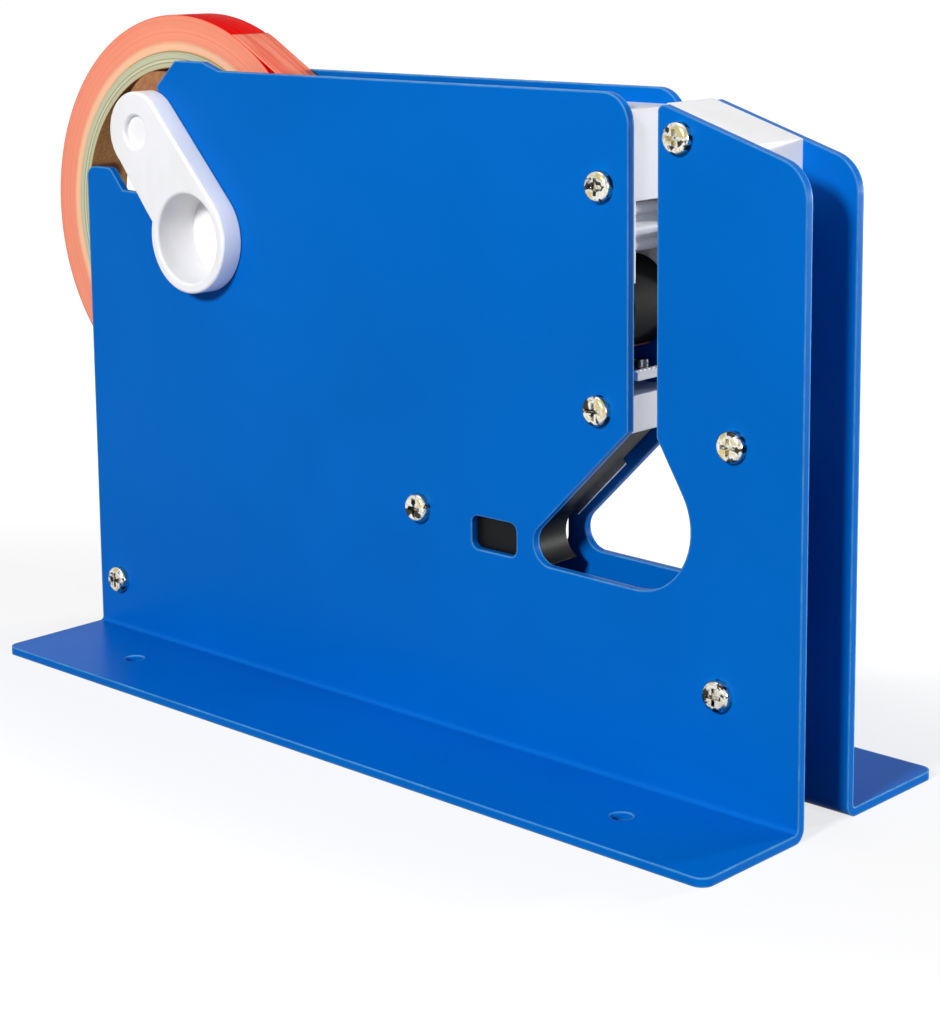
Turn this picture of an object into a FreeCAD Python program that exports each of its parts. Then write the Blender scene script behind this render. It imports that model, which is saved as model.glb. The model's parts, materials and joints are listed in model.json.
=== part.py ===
import FreeCAD, Part
import math
import os
import re

import Sketcher
from FreeCAD import Placement, Rotation, Vector

# A bag neck sealer for a shop counter. Two mirrored sheet metal plates stand on outward feet.
# A roll of tape hangs between them at the rear, and the bag's neck is pushed down a slot at the nose.
# X runs from the rear (roll) to the nose, Y from the front plate to the back plate, Z up.
# The origin is the middle of the four foot holes, on the underside of the feet.

# Name, value in millimetres (or degrees), and what it measures.
# Heights are from the underside of the feet. "from_rear" is from the plates' rear end.
SIZES = [
    ("plate_length", 232.0, "side plate, rear end to nose end"),
    ("plate_height", 154.0, "top edge above the underside of the feet"),
    ("sheet_gauge", 2.0, "steel sheet"),
    ("plate_gap", 16.0, "between the plates' inner faces"),
    ("foot_width", 32.0, "foot, from the plate's outer face"),
    ("foot_corner", 3.0, "rounding of the foot's outer corners"),
    ("bend_radius", 1.0, "inner radius of the bend"),
    ("foot_hole_radius", 2.5, "screw holes in the feet"),
    ("foot_hole_inset", 34.0, "foot hole from the plate's end"),
    ("foot_hole_out", 16.5, "foot hole from the plate's outer face"),
    ("slot_width", 8.0, "slot for the bag's neck"),
    ("slot_to_nose", 42.0, "slot's middle from the nose end"),
    ("slot_mouth_radius", 7.0, "rear lip of the slot's mouth"),
    ("nose_lip_radius", 1.5, "nose side lip of the slot's mouth"),
    ("nose_drop_start", 1.5, "nose edge below the top edge, at the slot"),
    ("nose_drop_end", 13.5, "nose edge below the top edge, at the nose end"),
    ("nose_radius", 8.5, "upper corner of the nose end"),
    ("throat_radius", 15.2, "round end of the opening below the slot"),
    ("throat_height", 61.5, "centre of the round end"),
    ("throat_back", 2.0, "round end's centre behind the slot's middle"),
    ("toe_radius", 5.0, "small end of the opening"),
    ("toe_back", 24.5, "small end's centre behind the round end's"),
    ("toe_drop", 9.8, "small end's centre below the round end's"),
    ("window_length", 14.0, "window at the trimmer"),
    ("window_rise", 8.0, "height of the window"),
    ("window_drop", 14.5, "window's underside below the round end's centre"),
    ("window_to_slot", 50.6, "window's rear edge from the slot's middle"),
    ("window_corner", 2.0, "rounding of the window's corners"),
    ("ear_start", 37.5, "raised ear on the top edge, rear side, from_rear"),
    ("ear_length", 10.5, "flat top of the ear"),
    ("ear_rise", 2.0, "ear above the top edge"),
    ("ear_run", 6.0, "length of the ear's slopes"),
    ("ear_slant", 7.5, "rear slope of the ear"),
    ("ear_slant_drop", 6.75, "rear slope of the ear"),
    ("horn_height", 127.0, "top of the rear horn"),
    ("horn_length", 9.5, "top of the rear horn, from_rear"),
    ("horn_slope", 5.0, "horn's slope down to the notch"),
    ("horn_radius", 3.0, "rounding of the horn"),
    ("pivot_from_rear", 47.5, "roll arm's pivot"),
    ("pivot_height", 112.0, "roll arm's pivot"),
    ("spindle_back", 19.3, "roll spindle at rest, behind the pivot"),
    ("spindle_rise", 25.9, "roll spindle at rest, above the pivot"),
    ("notch_clearance", 0.7, "notch edge to the spindle's neck"),
    ("notch_front_angle", 118.0, "degrees about the pivot, where the ear's slope ends"),
    ("notch_rear_angle", 160.0, "degrees about the pivot, where the horn's notch ends"),
    ("arm_thickness", 6.0, "roll arm"),
    ("arm_clearance", 0.3, "arm's inner face to the plate"),
    ("arm_end_radius", 10.3, "round upper end of the arm"),
    ("arm_waist_back", 16.3, "arm's inner corner behind the pivot"),
    ("arm_waist_rise", 6.3, "arm's inner corner above the pivot"),
    ("arm_waist_angle", 168.0, "degrees about the pivot, where the waist meets the cup"),
    ("cup_radius", 14.0, "outside of the arm's cup"),
    ("cup_recess_radius", 11.3, "inside of the cup"),
    ("cup_depth", 12.0, "depth of the cup"),
    ("cup_edge", 0.8, "rounding of the cup's and arm's edges"),
    ("hub_radius", 13.2, "hub that turns in the plate"),
    ("running_clearance", 0.1, "radial, hub in plate"),
    ("hub_end_gap", 0.15, "hub's end from the middle plane"),
    ("dowel_radius", 3.0, "dowel between the two hubs"),
    ("dowel_depth", 3.0, "dowel's hole in each hub"),
    ("fit_clearance", 0.05, "radial, pins in their holes"),
    ("spindle_neck_radius", 4.0, "arm's neck through the plate's notch"),
    ("spindle_pin_radius", 2.5, "steel pin through the drum"),
    ("spindle_pin_depth", 3.0, "pin's hole in each arm past the plate"),
    ("dimple_radius", 4.2, "dimple on the arm's upper end"),
    ("dimple_depth", 1.5, "dimple on the arm's upper end"),
    ("pin_end_gap", 0.1, "pin's end to the bottom of its hole"),
    ("drum_radius", 15.0, "drum that the roll hangs on"),
    ("drum_side_gap", 0.4, "drum's end to the plate"),
    ("hang_clearance", 0.3, "core's bore to the drum"),
    ("roll_lean", 14.0, "degrees, roll's centre off plumb under the spindle"),
    ("core_bore_radius", 38.0, "cardboard core, inside"),
    ("core_wall", 4.0, "cardboard core"),
    ("roll_radius", 51.5, "outside of the wound tape"),
    ("tape_width", 12.0, "tape"),
    ("core_overhang", 0.3, "core past each side of the tape"),
    ("strip_thickness", 0.3, "free strip of tape"),
    ("strip_gap", 0.3, "free strip to the roll and the roller"),
    ("strip_end_angle", 62.0, "degrees below level, strip's end round the roller"),
    ("screw_head_radius", 3.5, "pan head"),
    ("screw_head_rise", 2.2, "pan head"),
    ("screw_head_edge", 1.2, "rounding of the pan head"),
    ("screw_shank_radius", 1.75, "screw"),
    ("screw_length", 7.0, "screw, under its head"),
    ("screw_recess_depth", 1.2, "cross recess"),
    ("screw_recess_length", 3.9, "cross recess"),
    ("screw_recess_width", 0.9, "cross recess"),
    ("screw_hole_clearance", 0.25, "radial, screw in plate"),
    ("spacer_radius", 4.5, "spacer tubes between the plates"),
    ("rear_screw_from_rear", 8.4, "low screw at the rear"),
    ("rear_screw_height", 15.1, "low screw at the rear"),
    ("upper_screw_back", 11.6, "upper guide's screw from the slot's middle"),
    ("upper_screw_rise", 3.1, "upper guide's screw above the wheel's pocket"),
    ("lower_screw_back", 12.2, "lower guide's screw from the slot's middle"),
    ("lower_screw_rise", 8.0, "lower guide's screw above the opening's round end"),
    ("trimmer_screw_back", 67.3, "trimmer's screw from the slot's middle"),
    ("trimmer_screw_drop", 7.6, "trimmer's screw below the round end's centre"),
    ("nose_screw_ahead", 9.7, "nose guide's screw from the slot's middle"),
    ("nose_screw_drop", 8.7, "nose guide's screw below the top edge"),
    ("middle_screw_ahead", 24.3, "middle spacer's screw from the slot's middle"),
    ("middle_screw_height", 82.0, "middle spacer's screw"),
    ("low_screw_ahead", 21.1, "low spacer's screw from the slot's middle"),
    ("low_screw_height", 27.5, "low spacer's screw"),
    ("guide_setback", 0.8, "guides' faces behind the slot's edges"),
    ("upper_guide_length", 25.0, "upper guide along X"),
    ("upper_guide_top_gap", 3.5, "upper guide below the top edge"),
    ("guide_face_rise", 5.8, "lower end of the guide's face above the roller's axis"),
    ("cheek_drop", 6.7, "lower end of the cheeks below the roller's axis"),
    ("cheek_setback", 5.0, "cheeks' lower ends behind the guide's face"),
    ("cheek_thickness", 1.5, "guide's cheeks"),
    ("wheel_tip_radius", 6.0, "lobed wheel"),
    ("wheel_lobe_radius", 1.5, "rounding of a lobe"),
    ("wheel_root_radius", 4.0, "lobed wheel between the lobes"),
    ("wheel_gap", 0.9, "lobed wheel above the tape roller"),
    ("wheel_headroom", 0.4, "lobed wheel to the roof of its pocket"),
    ("wheel_inset", 1.0, "lobed wheel's tips behind the guide's face"),
    ("wheel_pin_radius", 1.5, "pins of the wheel and the lever"),
    ("wheel_side_gap", 0.3, "wheel and roller to the cheeks"),
    ("roller_radius", 10.2, "rubber tape roller"),
    ("roller_core_radius", 6.0, "roller's plastic core"),
    ("roller_gap", 2.4, "tape roller above the knife's screw heads"),
    ("roller_inset", 0.3, "roller's surface behind the guide's face"),
    ("roller_pin_radius", 2.0, "tape roller's axle"),
    ("lower_guide_length", 27.0, "lower guide along X"),
    ("lower_guide_rise", 3.7, "top of the lower guide above its screw"),
    ("lower_guide_drop", 4.5, "underside of the lower guide below its screw"),
    ("lever_ear_length", 9.0, "ears that hold the lever's pin"),
    ("lever_ear_rise", 7.0, "ears above the lower guide"),
    ("lever_ear_thickness", 3.0, "ears that hold the lever's pin"),
    ("lever_pin_ahead", 4.5, "lever's pin from the guide's rear end"),
    ("lever_pin_rise", 3.8, "lever's pin above the lower guide"),
    ("lever_knuckle_radius", 2.6, "lever's knuckle"),
    ("lever_knuckle_start", 3.9, "knuckle's front end from the lever's front side"),
    ("lever_neck", 0.3, "lever's wide part from its knuckle"),
    ("lever_thickness", 2.0, "lever"),
    ("lever_gap", 2.8, "lever above the lower guide"),
    ("lever_tip_gap", 0.8, "lever's tip behind the guide's face"),
    ("knife_gauge", 0.5, "tape knife"),
    ("knife_length", 9.0, "tape knife along X"),
    ("knife_tooth", 1.2, "teeth of the tape knife"),
    ("knife_tooth_pitch", 1.5, "teeth of the tape knife"),
    ("knife_tip_gap", 0.2, "knife's teeth behind the guide's face"),
    ("blade_screw_radius", 0.9, "screws of both blades"),
    ("blade_screw_head_radius", 1.7, "screws of both blades"),
    ("blade_screw_head_rise", 0.9, "screws of both blades"),
    ("knife_screw_length", 1.6, "tape knife's screws, under the blade"),
    ("knife_screw_spread", 2.8, "tape knife's screws from the middle plane"),
    ("knife_screw_back", 5.5, "tape knife's screws behind its teeth's tips"),
    ("spring_wire", 0.5, "lever's spring, wire"),
    ("spring_coils", 3.0, "lever's spring, turns"),
    ("spring_pitch", 1.0, "lever's spring"),
    ("spring_slack", 0.35, "spring's bore to the pin, radial"),
    ("spring_end_gap", 0.1, "spring's end to the lever's side"),
    ("holder_rear", 7.0, "trimmer block behind its screw"),
    ("holder_drop", 15.5, "trimmer block's underside below the round end's centre"),
    ("holder_headroom", 0.8, "trimmer block's top to the lower guide"),
    ("holder_top_length", 20.0, "top of the trimmer block"),
    ("holder_margin", 1.5, "trimmer block behind the opening's edge"),
    ("holder_step", 5.0, "depth of the blade's seat in the block"),
    ("holder_thick_length", 16.0, "full thickness part of the block"),
    ("holder_shoulder_rise", 0.5, "block's rear part above the round end's centre"),
    ("holder_shoulder_length", 36.0, "length of the block's rear part"),
    ("blade_gauge", 0.6, "trimming blade"),
    ("blade_length", 20.0, "trimming blade"),
    ("blade_width", 9.0, "trimming blade"),
    ("blade_proud", 3.0, "trimming blade past the opening's edge"),
    ("blade_bevel", 2.0, "ground edge of the trimming blade"),
    ("blade_start", 1.0, "trimming blade's lower end along the opening's edge"),
    ("blade_screw_length", 5.0, "trimming blade's screws, under the blade"),
    ("blade_screw_inset", 4.5, "trimming blade's screws from its ends"),
    ("blade_screw_up", 7.0, "trimming blade's screws from its edge"),
    ("nose_guide_length", 24.1, "nose guide's front end from the slot's edge"),
    ("nose_guide_depth", 22.0, "wide top of the nose guide"),
    ("nose_stem_width", 6.5, "stem of the nose guide"),
    ("nose_stem_rise", 7.8, "nose guide's stem above the opening's round end"),
]

doc = FreeCAD.newDocument("BagNeckSealer")
sheet = doc.addObject("Spreadsheet::Sheet", "Sizes")
for row, (name, value, note) in enumerate(SIZES, start=1):
    sheet.set(f"A{row}", note)
    sheet.set(f"B{row}", str(value))
    sheet.setAlias(f"B{row}", name)
doc.recompute()

SIZE_NAMES = {name for name, value, note in SIZES}


def size(name):
    return float(sheet.get(name))


def formula(text):
    """The text with each size's name pointing at its cell."""
    return re.sub(r"[a-z_]+", lambda word: f"Sizes.{word[0]}" if word[0] in SIZE_NAMES else word[0], text)


def bind(thing, prop, text):
    thing.setExpression(prop, formula(text))


# Places that many pieces share, measured from the rear end of the plates.
REAR = "(-plate_length / 2)"
SLOT = "(plate_length - slot_to_nose)"
SLOT_REAR = f"({SLOT} - slot_width / 2)"
SLOT_NOSE = f"({SLOT} + slot_width / 2)"
GUIDE_FACE = f"({SLOT_REAR} - guide_setback)"
NOSE_FACE = f"({SLOT_NOSE} + guide_setback)"
INNER = "(plate_gap / 2)"
OUTER = "(plate_gap / 2 + sheet_gauge)"
SPINDLE_X = "(pivot_from_rear - spindle_back)"
SPINDLE_Z = "(pivot_height + spindle_rise)"

# Heights that follow from each other, from the opening's round end up to the upper guide's screw.
THROAT_TOP = "(throat_height + throat_radius)"
LOWER_SCREW_Z = f"({THROAT_TOP} + lower_screw_rise)"
LOWER_FOOT = f"({LOWER_SCREW_Z} - lower_guide_drop)"
LOWER_TOP = f"({LOWER_SCREW_Z} + lower_guide_rise)"
LEVER_FOOT = f"({LOWER_TOP} + lever_gap)"
LEVER_TOP = f"({LEVER_FOOT} + lever_thickness)"
ROLLER_Z = f"({LEVER_TOP} + knife_gauge + blade_screw_head_rise + roller_gap + roller_radius)"
WHEEL_Z = f"({ROLLER_Z} + roller_radius + wheel_gap + wheel_tip_radius)"
POCKET_TOP = f"({WHEEL_Z} + wheel_tip_radius + wheel_headroom)"
WINDOW_FOOT = "(throat_height - window_drop)"

# Cutting shapes reach this far past what they cut.
SPARE = 1.0

# A corner that a round pad covers stands at this share of the pad's radius.
COVERED = 0.97

# Size of a new outline before its formulas take hold.
DRAFT_RADIUS = 50.0

SCREW_PLACES = [
    ("rear_screw_from_rear", "rear_screw_height"),
    (f"{SLOT} - upper_screw_back", f"{POCKET_TOP} + upper_screw_rise"),
    (f"{SLOT} - lower_screw_back", LOWER_SCREW_Z),
    (f"{SLOT} - trimmer_screw_back", "throat_height - trimmer_screw_drop"),
    (f"{SLOT} + nose_screw_ahead", "plate_height - nose_screw_drop"),
    (f"{SLOT} + middle_screw_ahead", "middle_screw_height"),
    (f"{SLOT} + low_screw_ahead", "low_screw_height"),
]
SPACER_PLACES = [SCREW_PLACES[0], SCREW_PLACES[5], SCREW_PLACES[6]]


# Sketches, features and primitives

def new_body(label, y_text):
    """A body whose XZ plane lies at y_text, with X measured from the rear end of the plates."""
    body = doc.addObject("PartDesign::Body", label)
    body.Label = label
    bind(body, "Placement.Base.x", REAR)
    bind(body, "Placement.Base.y", y_text)
    return body


def plane(body, role):
    return next(feature for feature in body.Origin.OriginFeatures if feature.Role == role)


def new_sketch(body, role="XZ_Plane", offset=None):
    sketch = body.newObject("Sketcher::SketchObject", "Sketch")
    sketch.AttachmentSupport = (plane(body, role), [""])
    sketch.MapMode = "FlatFace"
    if offset:
        bind(sketch, "AttachmentOffset.Base.z", offset)
    return sketch


def fix_point(sketch, item, end, across, up):
    """Ties one point of a sketch to two formulas."""
    for kind, text in (("DistanceX", across), ("DistanceY", up)):
        index = sketch.addConstraint(Sketcher.Constraint(kind, -1, 1, item, end, 1.0))
        sketch.setExpression(f"Constraints[{index}]", formula(text))


def draw_outline(sketch, points):
    """A closed outline of straight lines through points given as pairs of formulas."""
    count = len(points)
    turns = [2 * math.pi * turn / count for turn in range(count)]
    corners = [Vector(math.cos(turn), math.sin(turn), 0) * DRAFT_RADIUS for turn in turns]
    lines = [
        sketch.addGeometry(Part.LineSegment(corners[turn], corners[(turn + 1) % count]))
        for turn in range(count)
    ]
    for turn, line in enumerate(lines):
        sketch.addConstraint(Sketcher.Constraint("Coincident", line, 2, lines[(turn + 1) % count], 1))
        fix_point(sketch, line, 1, *points[turn])


def draw_circle(sketch, across, up, radius):
    circle = sketch.addGeometry(Part.Circle(Vector(1, 1, 0), Vector(0, 0, 1), 5.0))
    fix_point(sketch, circle, 3, across, up)
    index = sketch.addConstraint(Sketcher.Constraint("Radius", circle, 5.0))
    sketch.setExpression(f"Constraints[{index}]", formula(radius))


def pad(body, sketch, length, other_way=False):
    feature = body.newObject("PartDesign::Pad", "Pad")
    feature.Profile = sketch
    bind(feature, "Length", length)
    feature.Reversed = other_way
    doc.recompute()
    return feature


def pocket(body, sketch, length=None, other_way=False):
    """Cuts to a depth, or right through both ways when no length is given."""
    before = body.Shape.Volume
    feature = body.newObject("PartDesign::Pocket", "Pocket")
    feature.Profile = sketch
    if length:
        bind(feature, "Length", length)
        feature.Reversed = other_way
    else:
        feature.Type = "ThroughAll"
        feature.Midplane = True
    doc.recompute()
    if body.Shape.Volume > before - 1e-3:
        raise RuntimeError(f"{body.Label}: a pocket cuts nothing")
    return feature


def edges_where(shape, test):
    """Names of the edges whose middle point passes the test."""
    names = []
    for number, edge in enumerate(shape.Edges, start=1):
        middle = edge.valueAt((edge.FirstParameter + edge.LastParameter) / 2)
        if test(edge, middle):
            names.append(f"Edge{number}")
    return names


def fillet(body, test, radius):
    """Rounds the edges that pass the test, in the body's own coordinates."""
    base = body.Tip
    names = edges_where(base.Shape, test)
    if not names:
        raise RuntimeError(f"{body.Label}: no edge to round")
    feature = body.newObject("PartDesign::Fillet", "Fillet")
    feature.Base = (base, names)
    bind(feature, "Radius", radius)
    doc.recompute()
    return feature


def upright_at(points, reach=0.6):
    """A test for edges along Y that stand at one of the points (across, up)."""
    def test(edge, middle):
        along_y = edge.BoundBox.YLength > 0.5 and edge.BoundBox.XLength + edge.BoundBox.ZLength < 1e-4
        return along_y and any(math.hypot(middle.x - x, middle.z - z) < reach for x, z in points)
    return test


def cylinder(label, radius, length, across, y_start, up):
    """A cylinder along +Y."""
    thing = doc.addObject("Part::Cylinder", label)
    thing.Placement = Placement(Vector(), Rotation(Vector(1, 0, 0), -90))
    bind(thing, "Radius", radius)
    bind(thing, "Height", length)
    bind(thing, "Placement.Base.x", f"{REAR} + {across}")
    bind(thing, "Placement.Base.y", y_start)
    bind(thing, "Placement.Base.z", up)
    return thing


def box(label, spans):
    """A box from three pairs of formulas, the first measured from the rear end of the plates."""
    thing = doc.addObject("Part::Box", label)
    for prop, axis, (low, high) in zip(("Length", "Width", "Height"), "xyz", spans):
        bind(thing, prop, f"({high}) - ({low})")
        bind(thing, f"Placement.Base.{axis}", f"{REAR} + ({low})" if axis == "x" else low)
    return thing


def fuse(label, things):
    thing = doc.addObject("Part::MultiFuse", label)
    thing.Shapes = things
    return thing


def cut(label, base, tools):
    thing = doc.addObject("Part::Cut", label)
    thing.Base = base
    thing.Tool = tools[0] if len(tools) == 1 else fuse(f"{label}_tools", tools)
    return thing


def compound(label, things):
    thing = doc.addObject("Part::Compound", label)
    thing.Links = things
    return thing


def mirrored(label, source):
    """The same piece on the other side of the middle plane."""
    thing = doc.addObject("Part::Mirroring", label)
    thing.Source = source
    thing.Normal = Vector(0, 1, 0)
    return thing


def ring(label, outer, inner, half_length, across, up):
    """A tube along Y, centred on the middle plane."""
    body = cylinder(f"{label}_outside", outer, f"2 * ({half_length})", across, f"-({half_length})", up)
    bore = cylinder(
        f"{label}_bore", inner, f"2 * ({half_length} + {SPARE})", across, f"-({half_length}) - {SPARE}", up)
    return cut(label, body, [bore])


# The opening below the slot: a round end, a small toe, and straight edges tangent to both

def draw_throat(sketch, grow):
    slot_x = size("plate_length") - size("slot_to_nose")
    margin = size(grow) if grow else 0.0
    more = f" + {grow}" if grow else ""
    big = Vector(slot_x - size("throat_back"), size("throat_height"), 0)
    small = big + Vector(-size("toe_back"), -size("toe_drop"), 0)
    big_r = size("throat_radius") + margin
    small_r = size("toe_radius") + margin
    half_slot = size("slot_width") / 2 + margin
    gap = small - big
    lean = math.atan2(gap.y, gap.x)
    spread = math.acos((big_r - small_r) / gap.Length)
    high = lean - spread
    low = lean + spread

    def on(centre, radius, angle):
        return centre + Vector(radius * math.cos(angle), radius * math.sin(angle), 0)

    toe_high = on(small, small_r, high)
    toe_low = on(small, small_r, low)
    big_low = on(big, big_r, low)
    along = (on(big, big_r, high) - toe_high).normalize()
    mouth_rear = toe_high + along * ((slot_x - half_slot - toe_high.x) / along.x)
    mouth_nose = Vector(slot_x + half_slot, mouth_rear.y, 0)
    reach = mouth_nose - big
    big_right_angle = math.atan2(reach.y, reach.x) - math.acos(big_r / reach.Length)
    big_right = on(big, big_r, big_right_angle)

    edge = sketch.addGeometry(Part.LineSegment(toe_high, mouth_rear))
    mouth = sketch.addGeometry(Part.LineSegment(mouth_rear, mouth_nose))
    flare = sketch.addGeometry(Part.LineSegment(mouth_nose, big_right))
    big_middle = on(big, big_r, (low + big_right_angle) / 2)
    big_arc = sketch.addGeometry(Part.Arc(big_low, big_middle, big_right))
    floor = sketch.addGeometry(Part.LineSegment(big_low, toe_low))
    toe_arc = sketch.addGeometry(Part.Arc(toe_high, on(small, small_r, lean), toe_low))
    for first, first_end, second, second_end in (
        (edge, 2, mouth, 1),
        (mouth, 2, flare, 1),
    ):
        sketch.addConstraint(Sketcher.Constraint("Coincident", first, first_end, second, second_end))
    joins = ((flare, 2, big_arc, big_right), (floor, 1, big_arc, big_low), (floor, 2, toe_arc, toe_low),
             (edge, 1, toe_arc, toe_high))
    for line, line_end, curve, place in joins:
        near_start = (sketch.Geometry[curve].StartPoint - place).Length < 1e-3
        sketch.addConstraint(Sketcher.Constraint("Tangent", line, line_end, curve, 1 if near_start else 2))
    sketch.addConstraint(Sketcher.Constraint("Tangent", edge, big_arc))
    sketch.addConstraint(Sketcher.Constraint("Horizontal", mouth))
    centre = f"({SLOT} - throat_back)"
    fix_point(sketch, big_arc, 3, centre, "throat_height")
    fix_point(sketch, toe_arc, 3, f"{centre} - toe_back", "throat_height - toe_drop")
    for curve, radius in ((big_arc, f"throat_radius{more}"), (toe_arc, f"toe_radius{more}")):
        index = sketch.addConstraint(Sketcher.Constraint("Radius", curve, 5.0))
        sketch.setExpression(f"Constraints[{index}]", formula(radius))
    for line, side in ((edge, f"{SLOT} - slot_width / 2" + more.replace("+", "-")),
                       (flare, f"{SLOT} + slot_width / 2" + more)):
        end = 2 if line == edge else 1
        index = sketch.addConstraint(Sketcher.Constraint("DistanceX", -1, 1, line, end, 1.0))
        sketch.setExpression(f"Constraints[{index}]", formula(side))
    return toe_high, along


# Side plates: one sheet each, with the foot bent outwards

def side_plate():
    body = new_body("front_side_plate", f"-{INNER}")
    disc = "(hypot(spindle_back; spindle_rise) - spindle_neck_radius - notch_clearance)"

    def covered(angle):
        return (f"pivot_from_rear + {COVERED} * {disc} * cos({angle} * 1 deg)",
                f"pivot_height + {COVERED} * {disc} * sin({angle} * 1 deg)")

    top = "plate_height"
    ear_top = "plate_height + ear_rise"
    outline = [
        ("0", "0"),
        ("plate_length", "0"),
        ("plate_length", f"{top} - nose_drop_end"),
        (SLOT_NOSE, f"{top} - nose_drop_start"),
        (SLOT_REAR, top),
        ("ear_start + ear_length + ear_run", top),
        ("ear_start + ear_length", ear_top),
        ("ear_start", ear_top),
        ("ear_start - ear_slant", f"{ear_top} - ear_slant_drop"),
        covered("notch_front_angle"),
        covered("notch_rear_angle"),
        ("horn_length + horn_slope", f"pivot_height + {disc} * sin(notch_rear_angle * 1 deg)"),
        ("horn_length", "horn_height"),
        ("0", "horn_height"),
    ]
    web = new_sketch(body)
    draw_outline(web, outline)
    pad(body, web, "sheet_gauge")
    swing = new_sketch(body)
    draw_circle(swing, "pivot_from_rear", "pivot_height", disc)
    pad(body, swing, "sheet_gauge")

    foot = new_sketch(body, "XY_Plane")
    draw_outline(foot, [
        ("0", "-(sheet_gauge + foot_width)"),
        ("plate_length", "-(sheet_gauge + foot_width)"),
        ("plate_length", "0"),
        ("0", "0"),
    ])
    pad(body, foot, "sheet_gauge")

    slot = new_sketch(body)
    draw_outline(slot, [
        (SLOT_REAR, "throat_height"),
        (SLOT_NOSE, "throat_height"),
        (SLOT_NOSE, f"{top} + {SPARE}"),
        (SLOT_REAR, f"{top} + {SPARE}"),
    ])
    pocket(body, slot)
    throat = new_sketch(body)
    draw_throat(throat, None)
    pocket(body, throat)
    window = new_sketch(body)
    draw_outline(window, [
        (f"{SLOT} - window_to_slot", WINDOW_FOOT),
        (f"{SLOT} - window_to_slot + window_length", WINDOW_FOOT),
        (f"{SLOT} - window_to_slot + window_length", f"{WINDOW_FOOT} + window_rise"),
        (f"{SLOT} - window_to_slot", f"{WINDOW_FOOT} + window_rise"),
    ])
    pocket(body, window)
    holes = new_sketch(body)
    draw_circle(holes, "pivot_from_rear", "pivot_height", "hub_radius + running_clearance")
    for across, up in SCREW_PLACES:
        draw_circle(holes, across, up, "screw_shank_radius + screw_hole_clearance")
    pocket(body, holes)
    foot_holes = new_sketch(body, "XY_Plane")
    for across in ("foot_hole_inset", "plate_length - foot_hole_inset"):
        draw_circle(foot_holes, across, "-(sheet_gauge + foot_hole_out)", "foot_hole_radius")
    pocket(body, foot_holes)

    length = size("plate_length")
    height = size("plate_height")
    gauge = size("sheet_gauge")
    slot_rear = length - size("slot_to_nose") - size("slot_width") / 2
    slot_nose = slot_rear + size("slot_width")
    window_rear = length - size("slot_to_nose") - size("window_to_slot")
    window_nose = window_rear + size("window_length")
    window_low = size("throat_height") - size("window_drop")
    window_high = window_low + size("window_rise")
    horn = size("horn_length")
    horn_top = size("horn_height")
    fillet(body, upright_at([(slot_rear, height)]), "slot_mouth_radius")
    fillet(body, upright_at([(slot_nose, height - size("nose_drop_start"))]), "nose_lip_radius")
    fillet(body, upright_at([(length, height - size("nose_drop_end"))]), "nose_radius")
    fillet(body, upright_at([(0, horn_top), (horn, horn_top)]), "horn_radius")
    corners = [(x, z) for x in (window_rear, window_nose) for z in (window_low, window_high)]
    fillet(body, upright_at(corners), "window_corner")

    def along_x(y, z):
        def test(edge, middle):
            level = edge.BoundBox.YLength + edge.BoundBox.ZLength < 1e-4
            return level and abs(middle.y - y) < 1e-3 and abs(middle.z - z) < 1e-3
        return test

    fillet(body, along_x(-gauge, gauge), "bend_radius")
    fillet(body, along_x(0, 0), "bend_radius + sheet_gauge")
    edge_y = -(gauge + size("foot_width"))

    def foot_end(edge, middle):
        upright = edge.BoundBox.XLength + edge.BoundBox.YLength < 1e-4
        return upright and abs(middle.y - edge_y) < 1e-3

    fillet(body, foot_end, "foot_corner")
    return body


front_side_plate = side_plate()
back_side_plate = mirrored("back_side_plate", front_side_plate)


# Pan head screws with a cross recess, and the spacer tubes that some of them go into

def screw_pattern():
    """One screw at the origin, with its head's underside in the XZ plane and its head towards -Y."""
    head = doc.addObject("Part::Cylinder", "screw_head")
    head.Placement = Placement(Vector(), Rotation(Vector(1, 0, 0), 90))
    bind(head, "Radius", "screw_head_radius")
    bind(head, "Height", "screw_head_rise")
    doc.recompute()
    crown = doc.addObject("Part::Fillet", "screw_crown")
    crown.Base = head
    top = -size("screw_head_rise")
    crown.Edges = [
        (number, size("screw_head_edge"), size("screw_head_edge"))
        for number, edge in enumerate(head.Shape.Edges, start=1)
        if edge.BoundBox.YLength < 1e-4 and abs(edge.BoundBox.YMin - top) < 1e-3
    ]
    shank = doc.addObject("Part::Cylinder", "screw_shank")
    shank.Placement = Placement(Vector(), Rotation(Vector(1, 0, 0), -90))
    bind(shank, "Radius", "screw_shank_radius")
    bind(shank, "Height", "screw_length")
    whole = fuse("screw_whole", [crown, shank])
    slots = []
    for turn in (0, 1):
        slot = doc.addObject("Part::Box", f"screw_recess_{turn}")
        long_way = "screw_recess_length"
        short_way = "screw_recess_width"
        across, up = (long_way, short_way) if turn == 0 else (short_way, long_way)
        bind(slot, "Length", across)
        bind(slot, "Height", up)
        bind(slot, "Width", f"screw_recess_depth + {SPARE}")
        bind(slot, "Placement.Base.x", f"-{across} / 2")
        bind(slot, "Placement.Base.y", f"-screw_head_rise - {SPARE}")
        bind(slot, "Placement.Base.z", f"-{up} / 2")
        slots.append(slot)
    return cut("screw_pattern", whole, slots)


def screw_row(label):
    """A screw at each screw place of the front plate."""
    pattern = screw_pattern()
    doc.recompute()
    screws = []
    for number, (across, up) in enumerate(SCREW_PLACES):
        screw = doc.addObject("Part::Feature", f"screw_{number}")
        screw.Shape = pattern.Shape.copy()
        bind(screw, "Placement.Base.x", f"{REAR} + {across}")
        bind(screw, "Placement.Base.y", f"-{OUTER}")
        bind(screw, "Placement.Base.z", up)
        screws.append(screw)
    return compound(label, screws)


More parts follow.
